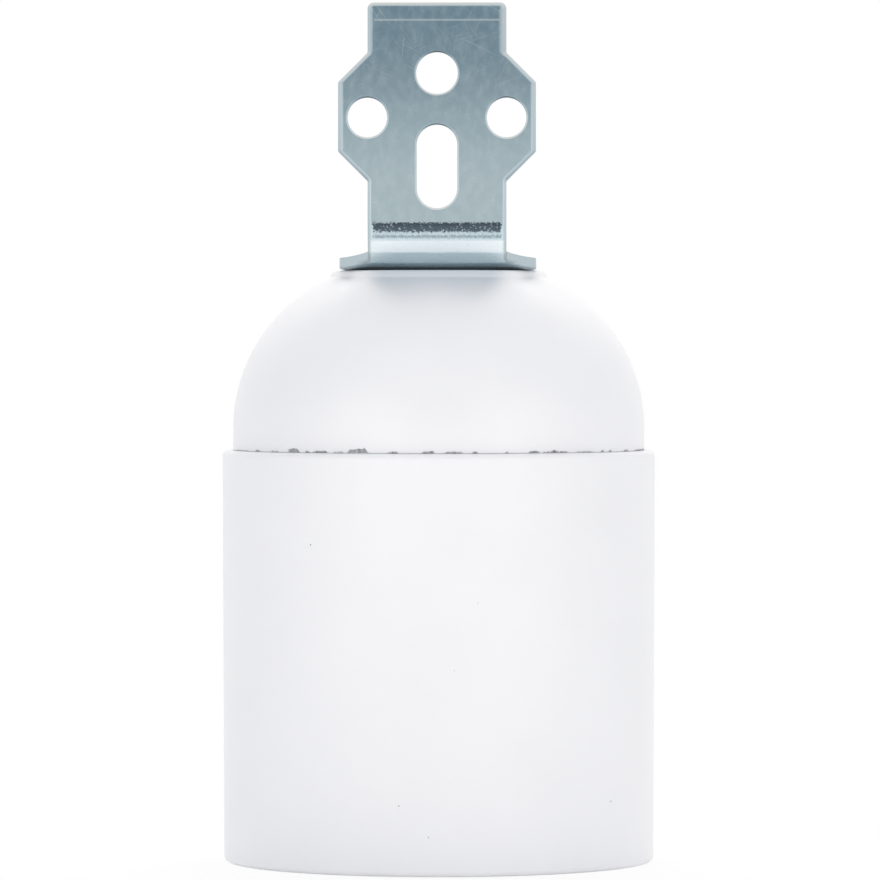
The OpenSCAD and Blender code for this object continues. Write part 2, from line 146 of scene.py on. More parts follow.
def new_material(name):
    """An empty node material, its tree and the object coordinates that its patterns read."""
    material = bpy.data.materials.new(name)
    material.use_nodes = True
    material.node_tree.nodes.clear()
    return material, material.node_tree, add(material.node_tree, "TexCoord").outputs["Object"]


def blended(tree, low, high, factor):
    """A colour between two sRGB hex colours or outputs."""
    ends = [end if isinstance(end, bpy.types.NodeSocket) else linear(end) for end in (low, high)]
    mix = add(tree, "Mix", {0: factor, 6: ends[0], 7: ends[1]}, data_type="RGBA")
    return mix.outputs[2]


def ranged(tree, value, from_min, from_max, to_min, to_max):
    """A value carried from one range to another and held inside it."""
    inputs = {"Value": value, "From Min": from_min, "From Max": from_max,
              "To Min": to_min, "To Max": to_max}
    return add(tree, "MapRange", inputs).outputs["Result"]


def surface(tree, **inputs):
    """The shader at the end of a material."""
    named = {key.replace("_", " "): value for key, value in inputs.items()}
    shader = add(tree, "BsdfPrincipled", named)
    add(tree, "OutputMaterial", {"Surface": shader.outputs["BSDF"]})


def moulded_white():
    """White glass-filled thermoplastic from a polished tool: opaque, satin, faintly uneven."""
    material, tree, place = new_material("moulded_white_thermoplastic")
    flow = add(tree, "TexNoise", {"Vector": place, "Scale": 1 / (9 * MM), "Detail": 3.0})
    peel = add(tree, "TexNoise", {"Vector": place, "Scale": 1 / (0.45 * MM), "Detail": 2.0})
    # Painted shade in the nicks of the cap's lower edge
    nick_shade = add(tree, "Attribute", attribute_name="nick_shade").outputs["Fac"]
    tone = blended(tree, "#F7F6F9", "#F9F8FB", ranged(tree, flow.outputs["Fac"], 0.35, 0.65, 0, 1))
    bump = add(tree, "Bump", {"Height": peel.outputs["Fac"], "Strength": 0.25,
                              "Distance": 0.004 * MM})
    # Painted shade and reflection of the bracket, blue-grey, on the collar and the dome in front of it
    painted_shade = add(tree, "Attribute", attribute_name="painted_shade").outputs["Fac"]
    tone = blended(tree, blended(tree, tone, "#86A2B2", painted_shade), "#4C5054", nick_shade)
    surface(tree, Base_Color=tone, Roughness=ranged(tree, flow.outputs["Fac"], 0.3, 0.7, 0.3, 0.38),
            Normal=bump.outputs["Normal"], IOR=1.52)
    return material


def scorched_grain():
    """Scorched granulate: a dull brown-grey speck in the white wall."""
    material, tree, place = new_material("scorched_grain")
    cloud = add(tree, "TexNoise", {"Vector": place, "Scale": 1 / (0.1 * MM)})
    surface(tree, Base_Color=blended(tree, "#6B6863", "#98958F", cloud.outputs["Fac"]),
            Roughness=0.6)
    return material


def finish(name, bm, body, materials, nodes, sharp=35):
    """Makes the piece from its mesh in millimetres and says what it is and what it rides on."""
    bmesh.ops.remove_doubles(bm, verts=bm.verts, dist=0.0005)
    bmesh.ops.recalc_face_normals(bm, faces=bm.faces)
    bmesh.ops.scale(bm, vec=(MM, MM, MM), verts=bm.verts)
    for face in bm.faces:
        face.smooth = True
    for edge in bm.edges:
        edge.smooth = not edge.is_manifold or edge.calc_face_angle() < radians(sharp)
    mesh = bpy.data.meshes.new(name)
    bm.to_mesh(mesh)
    bm.free()
    piece = bpy.data.objects.new(name, mesh)
    bpy.context.scene.collection.objects.link(piece)
    for material in materials:
        mesh.materials.append(material)
    weighted = piece.modifiers.new("even_shading", "WEIGHTED_NORMAL")
    weighted.keep_sharp = True
    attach(piece, body)
    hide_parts(*nodes)
    return piece


ROUND_THREAD = [(i / 10, (1 - cos(tau * i / 10)) / 2) for i in range(11)]
LAMP_PITCH = 3.629
LAMP_CREST = 12.25

white = moulded_white()
grain = scorched_grain()
skirt = bmesh.new()
spin_section(skirt, [
    (RIM_R - SKIRT_WALL + 0.2, 0), (RIM_R - RIM_ROUND - 0.3, 0),
    *arc((RIM_R - RIM_ROUND, RIM_ROUND), RIM_ROUND, -90, 0),
    (RIM_R + 0.05, SHOULDER / 3), (RIM_R + 0.1, SHOULDER * 2 / 3),
    *arc((SKIRT_R - SHOULDER_ROUND, SHOULDER - SHOULDER_ROUND), SHOULDER_ROUND, 0, 90, 8),
    (SKIRT_R - SHOULDER_ROUND - 0.2, SHOULDER), (NECK_R + 0.2, SHOULDER),
    *arc((NECK_R + 0.2, SHOULDER + 0.2), 0.2, -90, -180, 3),
    (NECK_R, NECK_TOP - 0.5), (NECK_R - 0.5, NECK_TOP), (NECK_IN_R + 0.25, NECK_TOP),
    (NECK_IN_R, NECK_TOP - 0.25), (NECK_IN_R, LEDGE), (RELIEF_R, LEDGE),
    (RELIEF_R, RELIEF_LOW), (THREAD_R, RELIEF_LOW), (THREAD_R, SLEEVE_LOW + 0.8),
    (THREAD_R + 0.8, SLEEVE_LOW), (SLEEVE_R - 0.2, SLEEVE_LOW), (SLEEVE_R, SLEEVE_LOW + 0.2),
    (SLEEVE_R, LEDGE - NECK_R + SLEEVE_R), (NECK_R, LEDGE), (NECK_R, SHOULDER - SHOULDER_WALL),
    (SKIRT_R - SKIRT_WALL - 0.5, SHOULDER - SHOULDER_WALL),
    (SKIRT_R - SKIRT_WALL, SHOULDER - SHOULDER_WALL - 0.5), (RIM_R - SKIRT_WALL, 0.2),
])
for i in range(RIB_COUNT):
    plate(skirt, [
        (SLEEVE_R - 0.8, RIB_LOW), (RIM_R - 0.9, RIB_LOW), (RIM_R - 0.9, SHOULDER - 1),
        (NECK_R - 1, SHOULDER - 1), (NECK_R - 1, LEDGE), (SLEEVE_R - 0.8, LEDGE - 2.75),
    ], 2 * RIB_HALF, tau * i / RIB_COUNT)
helix(skirt, THREAD_R, LAMP_CREST, LAMP_PITCH, SLEEVE_LOW + 1, RELIEF_LOW - 0.2, 0.6, ROUND_THREAD)
helix(skirt, NECK_R, NECK_R + 0.28, 2.0, SHOULDER + 0.25, NECK_TOP - 0.6, -0.6, ROUND_THREAD)
shell_faces = set(skirt.faces)
for angle, height, size in SPECKS:
    turn = radians(angle)
    r = RIM_R + (SKIRT_R - RIM_R) * height / SHOULDER - 0.6 * size
    bmesh.ops.create_icosphere(skirt, subdivisions=2, radius=size,
                               matrix=Matrix.Translation((r * sin(turn), -r * cos(turn), height)))
for face in skirt.faces:
    face.material_index = 0 if face in shell_faces else 1
finish("moulded_skirt", skirt, "base", [white, grain], ["skirt"])

# Cap: the domed upper shell, moulded in the same white thermoplastic. It screws over the neck,
# its low collar carries the bracket, and a threaded boss inside takes the nipple. Its thin
# lower edge is nicked where it was gripped and done up against the shoulder.
CAP_R = cap_high.x
CAP_TOP = cap_high.z
CAP_LOW = SHOULDER + 0.01
CAP_STEPS = 720
DOME_R = 16.4
DOME_IN_R = DOME_R - 1.9
DOME_C = (CAP_R - DOME_R, cap_low.z + 2)
CAP_IN_R = CAP_R - 1.9
COLLAR_R = 10.5
COLLAR_LEAN = 26
COLLAR_FILLET = 0.5
COLLAR_ROUND = 0.45
BOSS_R = 7.5
BOSS_LOW = CAP_TOP - 3.9
ENTRY_R = 5.0
BORE_TOP = NECK_TOP + 0.5
# The nicks in the lower edge: angle from straight ahead, width in degrees, height
NICKS = [
    (-70.4, 14, 0.05), (-59.2, 2.9, 0.13), (-50.7, 4.3, 0.07), (-42.7, 4.6, 0.39),
    (-37.5, 1.4, 0.12), (-33.2, 5.2, 0.16), (-27.3, 3.6, 0.08), (-21.5, 6.2, 0.42),
    (-11.5, 3.2, 0.13), (-1.8, 3.7, 0.19), (5.1, 5.7, 0.12), (10.9, 1.8, 0.14), (19.9, 1.1, 0.14),
    (28, 3.8, 0.16), (31.8, 2.2, 0.12), (34.4, 3, 0.25), (37.4, 3.1, 0.12), (45.3, 7.8, 0.07),
    (52.5, 1.4, 0.13), (56.2, 1.7, 0.13), (65.2, 3.3, 0.14), (80.3, 20, 0.12), (125.1, 5, 0.2),
    (152.1, 3, 0.12), (189.1, 6, 0.25), (224.1, 4, 0.15), (252.1, 2.5, 0.3), (263.1, 5, 0.1),
]
NICK_DEPTH = 0.16
# Painted shade and reflection of the bracket: a blue-grey patch painted on the collar and the dome in front of it.
# Its share at the top, where it ends, half its width there and at the top, and its soft side
SHADE_SHARE = 0.42
SHADE_LOW = 50.0
SHADE_R = (3.0, 8.0)
SHADE_SIDE = 2.6

lean = radians(COLLAR_LEAN)
down = Vector((sin(lean), -cos(lean)))
edge = Vector((COLLAR_R, CAP_TOP))
start = edge + COLLAR_FILLET * Vector((cos(lean), sin(lean))) - Vector(DOME_C)
slide = -start @ down - sqrt((start @ down) ** 2 - start @ start + (DOME_R + COLLAR_FILLET) ** 2)
fillet = start + slide * down
dome_end = degrees(atan2(fillet.y, fillet.x))
round_x = COLLAR_R - COLLAR_ROUND * (1 - sin(lean)) / cos(lean)

cap = bmesh.new()
spin_section(cap, [
    (CAP_IN_R, CAP_LOW), (CAP_R - 0.4, CAP_LOW), (CAP_R - 0.18, CAP_LOW),
    (CAP_R - 0.06, CAP_LOW + 0.01), (CAP_R - 0.01, CAP_LOW + 0.04), (CAP_R, CAP_LOW + 0.1),
    (CAP_R, CAP_LOW + 0.15), (CAP_R, CAP_LOW + 0.7), (CAP_R, CAP_LOW + 1.2), *arc(DOME_C, DOME_R, 0, dome_end, 32),
    *arc(Vector(DOME_C) + fillet, COLLAR_FILLET, dome_end + 180, 180 + COLLAR_LEAN, 5)[1:],
    *arc((round_x, CAP_TOP - COLLAR_ROUND), COLLAR_ROUND, COLLAR_LEAN, 90, 6),
    (COLLAR_R - 1, CAP_TOP), (ENTRY_R, CAP_TOP), (ENTRY_R, BOSS_LOW + 0.2),
    (ENTRY_R + 0.2, BOSS_LOW), (BOSS_R - 0.2, BOSS_LOW), (BOSS_R, BOSS_LOW + 0.2),
    *arc(DOME_C, DOME_IN_R, degrees(acos((BOSS_R - DOME_C[0]) / DOME_IN_R)),
         degrees(asin((BORE_TOP - DOME_C[1]) / DOME_IN_R)), 16),
    (CAP_IN_R, BORE_TOP),
], CAP_STEPS)


def nick(angle):
    """Height of the nick in the cap's edge at an angle, ragged along its length."""
    deepest = 0
    for middle, width, height in NICKS:
        away = abs((angle - middle + 180) % 360 - 180) / (width / 2)
        rough = 0.75 + 0.5 * noise.noise(Vector((angle * 0.9, middle, 0)))
        deepest = max(deepest, height * rough * min(1, max(0, 1 - away) * 3))
    return deepest


# Painted shade in the nicks: the outer lower edge of each nick is darkened in the colour, patchily along the edge
nick_shade = cap.verts.layers.float.new("nick_shade")
for vert in cap.verts:
    r = hypot(vert.co.x, vert.co.y)
    if r < CAP_R - 0.1 or vert.co.z > CAP_LOW + 0.2:
        continue
    angle = degrees(atan2(vert.co.x, -vert.co.y))
    rise = nick(angle)
    up = vert.co.z - CAP_LOW
    patchy = 0.65 + 0.5 * noise.noise(Vector((angle * 1.7, 5, 0)))
    vert[nick_shade] = min(1, rise / 0.1) * patchy * (0.9 if up < 0.05 else 0.5 if up < 0.12 else 0)
    vert.co.z += rise * (0.15 if up < 0.02 else 1)
    kept = 1 - NICK_DEPTH * min(1, rise / 0.3) / r if up < 0.05 else 1
    vert.co.x *= kept
    vert.co.y *= kept
# Painted shade and reflection of the bracket: strongest at the collar, fading down the dome and to its sides
painted_shade = cap.verts.layers.float.new("painted_shade")
for vert in cap.verts:
    if vert.co.y < -ENTRY_R and vert.co.z > SHADE_LOW:
        up = (vert.co.z - SHADE_LOW) / (CAP_TOP - SHADE_LOW)
        inside = (SHADE_R[0] + (SHADE_R[1] - SHADE_R[0]) * up - abs(vert.co.x)) / SHADE_SIDE
        vert[painted_shade] = SHADE_SHARE * up ** 5 * min(1, max(0, inside))
for i in range(4):
    plate(cap, [
        (carrier_high.x - 2.4, carrier_high.z), (carrier_high.x, carrier_high.z),
        (CAP_IN_R - 1, carrier_high.z + 0.6), (CAP_IN_R - 1, 52), (carrier_high.x - 2.4, 54.6),
    ], 1.6, tau * (i + 0.5) / 4)
finish("moulded_cap", cap, "head", [white], ["cap"])

# Bracket: a blank punched from 1.2 mm steel strip and folded to an L, then zinc plated and
# passivated blue. Punching rolled over the front edges of the outline and of the holes, and
# the plating shows a fine spangle with handling scratches.
bracket_low, bracket_high = (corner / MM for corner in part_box("bracket"))
SHEET = 1.2
WING_R = bracket_high.x
STRIP_R = 6.8
FACE_Y = bracket_low.y
FOOT_Z = bracket_low.z
BEND_R = 4.7
BEND_Y = FACE_Y + BEND_R
BEND_Z = FOOT_Z + BEND_R
NEUTRAL_R = BEND_R - SHEET / 2
BEND_LEN = NEUTRAL_R * pi / 2
WING_STEP = WING_R - STRIP_R
WING_LOW = FOOT_Z + 11.6
WING_HIGH = FOOT_Z + 18.4
# Where the strip starts to widen into the foot and where it has its full width, off the axis
FLARE_START = -7.45
FLARE_END = -5.65
# The rolled-over edge: its width along each side of the outline, up the right side, over the
# top and down the left one, its drop, both at the holes, and its shape as shares of the two
ROLL_W = [0.6, 0.5, 0.4, 0.45, 0.6, 0.45, 0.85, 0.4, 0.6, 0.45, 0.6, 0.45, 0.4, 0.5, 0.6]
ROLL_DROP = 0.2
HOLE_ROLL_W = 0.2
HOLE_ROLL_DROP = 0.09
ROLL = [(0, 1), (0.05, 0.88), (0.12, 0.78), (0.45, 0.4), (0.75, 0.09), (0.88, 0.02), (1, 0)]
HOLE_STEPS = 64
CORNER_STEPS = 6
# The flat that the folding bar pressed into the bend
FLAT_START = radians(38.7)
FLAT_END = radians(58)
HOLES = [(0, 78.0, 2.05, 0), (-6.825, 73.65, 1.95, 0), (6.825, 73.65, 1.95, 0),
         (0, 68.85, 2.0, 2.1)]
nipple_low, nipple_high = (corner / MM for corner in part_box("nipple"))


def developed(z):
    """Where a height on the upright lies on the flat blank, measured from the bend's end."""
    return z - BEND_Z


def unrolled(y):
    """Where a depth in the bend lies on the flat blank."""
    return -NEUTRAL_R * acos((BEND_Y - y) / NEUTRAL_R)


foot_end = -BEND_LEN + BEND_Y
# Corners of the right side, from the foot to the upper edge, each with its rounding
side = [
    (WING_R, unrolled(FLARE_END), 0.8), (STRIP_R, unrolled(FLARE_START), 0.3),
    (STRIP_R, developed(WING_LOW - WING_STEP), 0.4),
    (WING_R, developed(WING_LOW), 0.3), (WING_R, developed(WING_HIGH), 0.3),
    (STRIP_R, developed(WING_HIGH + WING_STEP), 0.4), (STRIP_R, developed(bracket_high.z), 0.6),
]
corners = side + [(-x, v, rounding) for x, v, rounding in reversed(side)]
corners = [(WING_R, foot_end, 0), *corners, (-WING_R, foot_end, 0)]


def outline(share):
    """The blank's outline, moved in by a share of the roll, ending with the round foot."""
    points = []
    for before, corner, after, width, next_width in zip(
            corners, corners[1:], corners[2:], ROLL_W, ROLL_W[1:]):
        at = Vector(corner[:2])
        inwards = [(at - Vector(before[:2])).orthogonal().normalized(),
                   (Vector(after[:2]) - at).orthogonal().normalized()]
        corner_in = (inwards[0] + inwards[1]) / (1 + inwards[0] @ inwards[1])
        hollow = inwards[0] @ (Vector(after[:2]) - at) < 0
        reach = -corner[2] if hollow else max(corner[2], share * max(width, next_width) + 0.01)
        for i in range(CORNER_STEPS + 1):
            along = i / CORNER_STEPS
            inset = share * (width + (next_width - width) * along)
            inward = inwards[0].lerp(inwards[1], along).normalized()
            points.append(at + corner_in * reach + (inset - reach) * inward)
    return points + arc((0, foot_end), WING_R - share * ROLL_W[0], 180, 360, 48)


def turn_over(rings):
    """Says how far each point of a rolled edge faces up, for its painted highlight and shade. The bend's own edges
    are set a little below level, which gives them a duller painted tone.
    """
    for edge, *others in zip(*rings):
        facing = (edge.co - others[-1].co).xy.normalized().y if edge.co.y > 0 else -0.2
        for vert in (edge, *others):
            vert[faces_up] = facing


blank = bmesh.new()
cut = blank.verts.layers.float.new("cut")
faces_up = blank.verts.layers.float.new("faces_up")
last = []
rings = []
for share, drop in ROLL:
    ring = [blank.verts.new((*point, -drop * ROLL_DROP)) for point in outline(share)]
    for vert in ring:
        vert[cut] = drop ** 0.5
    for i in range(len(last)):
        blank.faces.new([last[i - 1], last[i], ring[i], ring[i - 1]])
    last = ring
    rings.append(ring)
turn_over(rings)
fill = [blank.edges.get(pair) for pair in zip(last, last[1:] + last[:1])]
half_step = Matrix.Rotation(pi / HOLE_STEPS, 4, "Z")
for x, v, r, half in [(x, developed(z), r, half) for x, z, r, half in HOLES] + [
        (0, foot_end, nipple_high.x + 0.15, 0)]:
    last = []
    rings = []
    for share, drop in ROLL:
        place = Matrix.Translation((x, v, -drop * HOLE_ROLL_DROP)) @ half_step
        ring = bmesh.ops.create_circle(blank, segments=HOLE_STEPS, matrix=place,
                                       radius=r + share * HOLE_ROLL_W)["verts"]
        loop = list({link for vert in ring for link in vert.link_edges})
        for vert in ring:
            vert.co.y += half if vert.co.y > v else -half
            vert[cut] = drop ** 0.5
        if last:
            bmesh.ops.bridge_loops(blank, edges=last + loop)
        last = loop
        rings.append(ring)
    turn_over(rings)
    fill += last
bmesh.ops.triangle_fill(blank, edges=fill, use_beauty=True, normal=(0, 0, 1))
grown = bmesh.ops.extrude_face_region(blank, geom=list(blank.faces), use_keep_orig=True)["geom"]
for vert in grown:
    if isinstance(vert, bmesh.types.BMVert):
        vert.co.z = -SHEET
        vert[cut] = 1 if vert[cut] > 0.95 else 0
bmesh.ops.recalc_face_normals(blank, faces=blank.faces)
turns = [radians(2.5 * i) for i in range(37)]
turns = [a for a in turns if not FLAT_START - 0.02 < a < FLAT_END + 0.02]
turns += [FLAT_START - 0.02, FLAT_START, FLAT_END, FLAT_END + 0.02]
for turn in turns:
    bmesh.ops.bisect_plane(blank, geom=blank.verts[:] + blank.edges[:] + blank.faces[:],
                           plane_co=(0, -NEUTRAL_R * turn, 0), plane_no=(0, 1, 0), dist=1e-5)


def folded(point):
    """Where a point of the flat blank goes when the foot is folded back under the upright."""
    x, v, up = point
    if v >= 0:
        return Vector((x, FACE_Y - up, BEND_Z + v))
    if v <= -BEND_LEN:
        return Vector((x, BEND_Y - BEND_LEN - v, FOOT_Z - up))
    turn = -v / NEUTRAL_R
    r = BEND_R + up
    if FLAT_START < turn < FLAT_END:
        half = (FLAT_END - FLAT_START) / 2
        r += BEND_R * (cos(half) / cos(turn - FLAT_START - half) - 1)
    return Vector((x, BEND_Y - r * cos(turn), BEND_Z - r * sin(turn)))


for vert in blank.verts:
    vert.co = folded(vert.co)


# Scratches: lines a millimetre across their run, and how far that run leans from upright
SCRATCHES = [(7.0, 28), (6.0, -37), (8.0, 71), (6.5, -64), (7.0, 4)]
# The line scribed below the upper edge
SCRIBED_Z = 83.2
SCRIBED_R = 6.1
# Painted light on the outer side of the bend, from below: painted shade where it meets the collar, a painted
# highlight over its flat and the band above, and painted reflections of dark and light bands at its start. Each
# stop: height, tone and how far it hides the plating
BEND_PAINTED_LIGHT = [(58.72, "#3E474B", 0.82), (58.85, "#3E474B", 0.76), (58.97, "#3E474B", 0.6),
              (59.13, "#3E474B", 0), (59.3, "#F2FDFF", 0), (59.5, "#F2FDFF", 1),
              (60.36, "#F2FDFF", 1), (60.44, "#F4FBFF", 1), (61.5, "#F4FBFF", 1),
              (61.72, "#D4E4EA", 0.7),
              (61.92, "#8E9DA6", 0.8), (62.06, "#8E9DA6", 0.8), (62.2, "#C6D4DA", 0.6),
              (62.38, "#B0BEC6", 0.7), (62.5, "#4A5763", 0.95), (63.28, "#45525E", 0.95),
              (63.42, "#8C9CA6", 0)]
# How far to each side the painted light on the bend reaches
BEND_PAINTED_R = 6.25
# Painted highlight and shade on the rolled-over edges: lighter where they face up and darker where they face down
RIM_PAINTED_LIGHT = [(0, "#46535D", 1), (0.08, "#7A8A93", 1), (0.18, "#A3B0B7", 1), (0.5, "#BCC8CC", 1),
             (0.85, "#CDD3D3", 1), (1, "#D6D8D2", 1)]


def compute(tree, kind, one, two=0.0):
    """One sum on two values or outputs."""
    return add(tree, "Math", {0: one, 1: two}, operation=kind).outputs["Value"]


def noisy(tree, place, scale, detail=3.0, run=1.0, lean=0.0):
    """Noise with so many cells a millimetre, drawn out along a run that leans from upright."""
    turned = add(tree, "Mapping", {"Vector": place, "Rotation": (0, radians(lean), 0),
                                   "Scale": (1, 1, run)}, vector_type="TEXTURE")
    return add(tree, "TexNoise", {"Vector": turned.outputs["Vector"], "Scale": scale / MM,
                                  "Detail": detail}).outputs["Fac"]


def ramp(tree, value, stops):
    """A colour ramp over stops given as place, sRGB hex colour and share."""
    made = add(tree, "ValToRGB", {"Fac": value})
    elements = made.color_ramp.elements
    elements.remove(elements[1])
    for i, (at, hex_code, share) in enumerate(stops):
        stop = elements.new(at) if i else elements[0]
        stop.position = at
        stop.color = linear(hex_code)[:3] + (share,)
    return made.outputs["Color"], made.outputs["Alpha"]


def zinc_plate():
    """Bright zinc with a blue passivate: a cool metal with fine spangle, scratches and a line scribed below the
    upper edge. It is painted darker towards that edge and lighter towards the foot, a painted reflection of the
    white cap below. The bend carries painted shade where it meets the collar, a painted highlight on its flat and
    the band above, and painted reflections of dark and light bands at its start, and it is rougher over its lower
    part. The rolled edges carry a painted highlight where they face up and painted shade underneath.
    """
    material, tree, place = new_material("blue_passivated_zinc_plate")
    split = add(tree, "SeparateXYZ", {"Vector": place})
    height = split.outputs["Z"]
    aside = compute(tree, "ABSOLUTE", split.outputs["X"])
    # Painted reflection: the plate is darker towards its upper edge and lighter towards the foot, where the white
    # cap below mirrors in it. The scratches fade out with it towards the foot
    towards_top = add(tree, "MapRange", {"Value": height, "From Min": 66 * MM, "From Max": 83 * MM},
                interpolation_type="SMOOTHSTEP").outputs["Result"]
    mottle = noisy(tree, place, 1.5, 4.0, 1.7)
    body = blended(tree, "#CFE3EA", "#8AA7B6", towards_top)
    body = blended(tree, body, "#E4F0F4", ranged(tree, mottle, 0.4, 0.75, 0, 0.16))
    for scale, lean in SCRATCHES:
        line = noisy(tree, place, scale, 1.0, 40, lean)
        patch = noisy(tree, place, 0.4, 2.0, 1, lean)
        marked = compute(tree, "MULTIPLY", ranged(tree, line, 0.66, 0.76, 0, 0.28),
                         ranged(tree, patch, 0.45, 0.6, 0, 1))
        body = blended(tree, body, "#EAF4F8", compute(tree, "MULTIPLY", marked, towards_top))
    off_line = compute(tree, "ABSOLUTE", compute(tree, "SUBTRACT", height, SCRIBED_Z * MM))
    scribed = compute(tree, "MULTIPLY", ranged(tree, off_line, 0.05 * MM, 0.13 * MM, 0.5, 0),
                      ranged(tree, aside, SCRIBED_R * MM, (SCRIBED_R + 0.1) * MM, 1, 0))
    body = blended(tree, body, "#EAF4F8", scribed)

    # Painted shade, highlight and reflections on the outer side of the bend, with ragged edges and light specks
    grit = noisy(tree, place, 5.0, 4.0)
    ragged = compute(tree, "MULTIPLY", compute(tree, "SUBTRACT", grit, 0.5),
                     ranged(tree, height, 61.5 * MM, 62.3 * MM, 0, 0.7))
    low, high = BEND_PAINTED_LIGHT[0][0], BEND_PAINTED_LIGHT[-1][0]
    at = ranged(tree, compute(tree, "ADD", height, compute(tree, "MULTIPLY", ragged, MM)),
                low * MM, high * MM, 0, 1)
    tone, share = ramp(tree, at, [((z - low) / (high - low), hex_code, hidden)
                                  for z, hex_code, hidden in BEND_PAINTED_LIGHT])
    tone = blended(tree, tone, "#DDE9F0", ranged(tree, noisy(tree, place, 6.0, 1.0), 0.62, 0.7, 0, 0.6))
    section = add(tree, "VectorMath", {0: place, 1: (0, 1, 1)}, operation="MULTIPLY")
    from_bend = add(tree, "VectorMath", {0: section.outputs["Vector"],
                                         1: (0, BEND_Y * MM, BEND_Z * MM)}, operation="DISTANCE")
    outside = ranged(tree, from_bend.outputs["Value"], (BEND_R - 0.5) * MM, (BEND_R - 0.4) * MM, 0, 1)
    in_front = ranged(tree, split.outputs["Y"], -5.2 * MM, -5.5 * MM, 0, 1)
    reach = compute(tree, "MAXIMUM", ranged(tree, height, 61.6 * MM, 61.75 * MM, 1, 0),
                    ranged(tree, compute(tree, "ADD", aside, compute(tree, "MULTIPLY", ragged, MM)),
                           BEND_PAINTED_R * MM, (BEND_PAINTED_R + 0.1) * MM, 1, 0))
    for limit in (outside, in_front, reach):
        share = compute(tree, "MULTIPLY", share, limit)
    body = blended(tree, body, tone, share)
    # Painted highlight and shade on the rolled edges, by how far each point faces up
    edges = add(tree, "Attribute", attribute_name="cut").outputs["Fac"]
    facing = add(tree, "Attribute", attribute_name="faces_up").outputs["Fac"]
    rim, _ = ramp(tree, ranged(tree, facing, -1, 1, 0, 1), RIM_PAINTED_LIGHT)
    body = blended(tree, body, rim, ranged(tree, edges, 0, 0.75, 0, 0.9))
    scuffed = compute(tree, "MULTIPLY", share, ranged(tree, height, 61.5 * MM, 61.7 * MM, 0.4, 0))
    # Painted highlight: the band above the flat is made partly matt, so that its white tone shows as a highlight
    painted_highlight = compute(tree, "MULTIPLY", scuffed,
                     ranged(tree, height, 60.36 * MM, 60.44 * MM, 0, 1.7))
    bump = add(tree, "Bump", {"Height": mottle, "Strength": 0.3, "Distance": 0.008 * MM})
    surface(tree, Base_Color=body, Metallic=compute(tree, "SUBTRACT", 1, painted_highlight),
            Normal=bump.outputs["Normal"],
            Roughness=compute(tree, "ADD", ranged(tree, mottle, 0.3, 0.7, 0.2, 0.28), scuffed))
    return material


zinc = zinc_plate()
finish("plated_bracket", blank, "head", [zinc], ["bracket"], 40)

# Nipple: a short M10x1 tube, turned from steel bar, bored for the flex and zinc plated. It is
# screwed through the bracket's foot into the cap's boss, and its thread is cut from end to end.
NIPPLE_R = nipple_high.x
NIPPLE_ROOT = NIPPLE_R - 0.34
NIPPLE_BORE = NIPPLE_R - 1.2
SHARP_THREAD = [(0, 0), (0.08, 0), (0.44, 1), (0.56, 1), (0.92, 0), (1, 0)]

nipple = bmesh.new()
spin_section(nipple, [
    (NIPPLE_BORE + 0.2, nipple_low.z), (NIPPLE_ROOT - 0.1, nipple_low.z),
    (NIPPLE_ROOT, nipple_low.z + 0.15), (NIPPLE_ROOT, nipple_high.z - 0.15),
    (NIPPLE_ROOT - 0.1, nipple_high.z), (NIPPLE_BORE + 0.2, nipple_high.z),
    (NIPPLE_BORE, nipple_high.z - 0.2), (NIPPLE_BORE, nipple_low.z + 0.2),
], 96)
helix(nipple, NIPPLE_ROOT, NIPPLE_R, 1.0, nipple_low.z + 0.1, nipple_high.z - 0.1, -0.2,
      SHARP_THREAD)
finish("threaded_nipple", nipple, "head", [zinc], ["nipple"])

# Nut: an M10x1 thin hexagon nut, cold formed and plated like the bracket. Both faces carry the
# usual 30 degree chamfer, which curves the top of each flat.
nut_low, nut_high = (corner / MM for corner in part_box("nut"))
NUT_FLAT = 6.5
NUT_FACE = 5.85
NUT_STEPS = 96


def hexagon_r(angle):
    """Distance from the nut's axis to its side, with slightly rounded corners."""
    return min(NUT_FLAT / cos((angle + pi / 6) % (pi / 3) - pi / 6), NUT_FLAT * 1.145)


def grow_ring(bm, edges, place):
    """Extrudes a ring of edges and puts each new point where place says for its angle."""
    grown = bmesh.ops.extrude_edge_only(bm, edges=edges)["geom"]
    for vert in [v for v in grown if isinstance(v, bmesh.types.BMVert)]:
        angle = atan2(vert.co.y, vert.co.x)
        r, z = place(angle)
        vert.co = Vector((r * cos(angle), r * sin(angle), z))
    return [e for e in grown if isinstance(e, bmesh.types.BMEdge)]


nut = bmesh.new()
bmesh.ops.create_circle(nut, segments=NUT_STEPS, radius=NIPPLE_R + 0.05,
                        matrix=Matrix.Translation((0, 0, nut_low.z + 0.35)))
ring = list(nut.edges)
for place in [
    lambda a: (NUT_FACE - 0.45, nut_low.z),
    lambda a: (NUT_FACE, nut_low.z),
    lambda a: (hexagon_r(a), nut_low.z + (hexagon_r(a) - NUT_FACE) / sqrt(3)),
    lambda a: (hexagon_r(a), nut_high.z - (hexagon_r(a) - NUT_FACE) / sqrt(3)),
    lambda a: (NUT_FACE, nut_high.z),
    lambda a: (NUT_FACE - 0.45, nut_high.z),
    lambda a: (NIPPLE_R + 0.05, nut_high.z - 0.35),
    lambda a: (NIPPLE_R + 0.05, nut_low.z + 0.35),
]:
    ring = grow_ring(nut, ring, place)
finish("hexagon_nut", nut, "head", [zinc], ["nut"], 25)


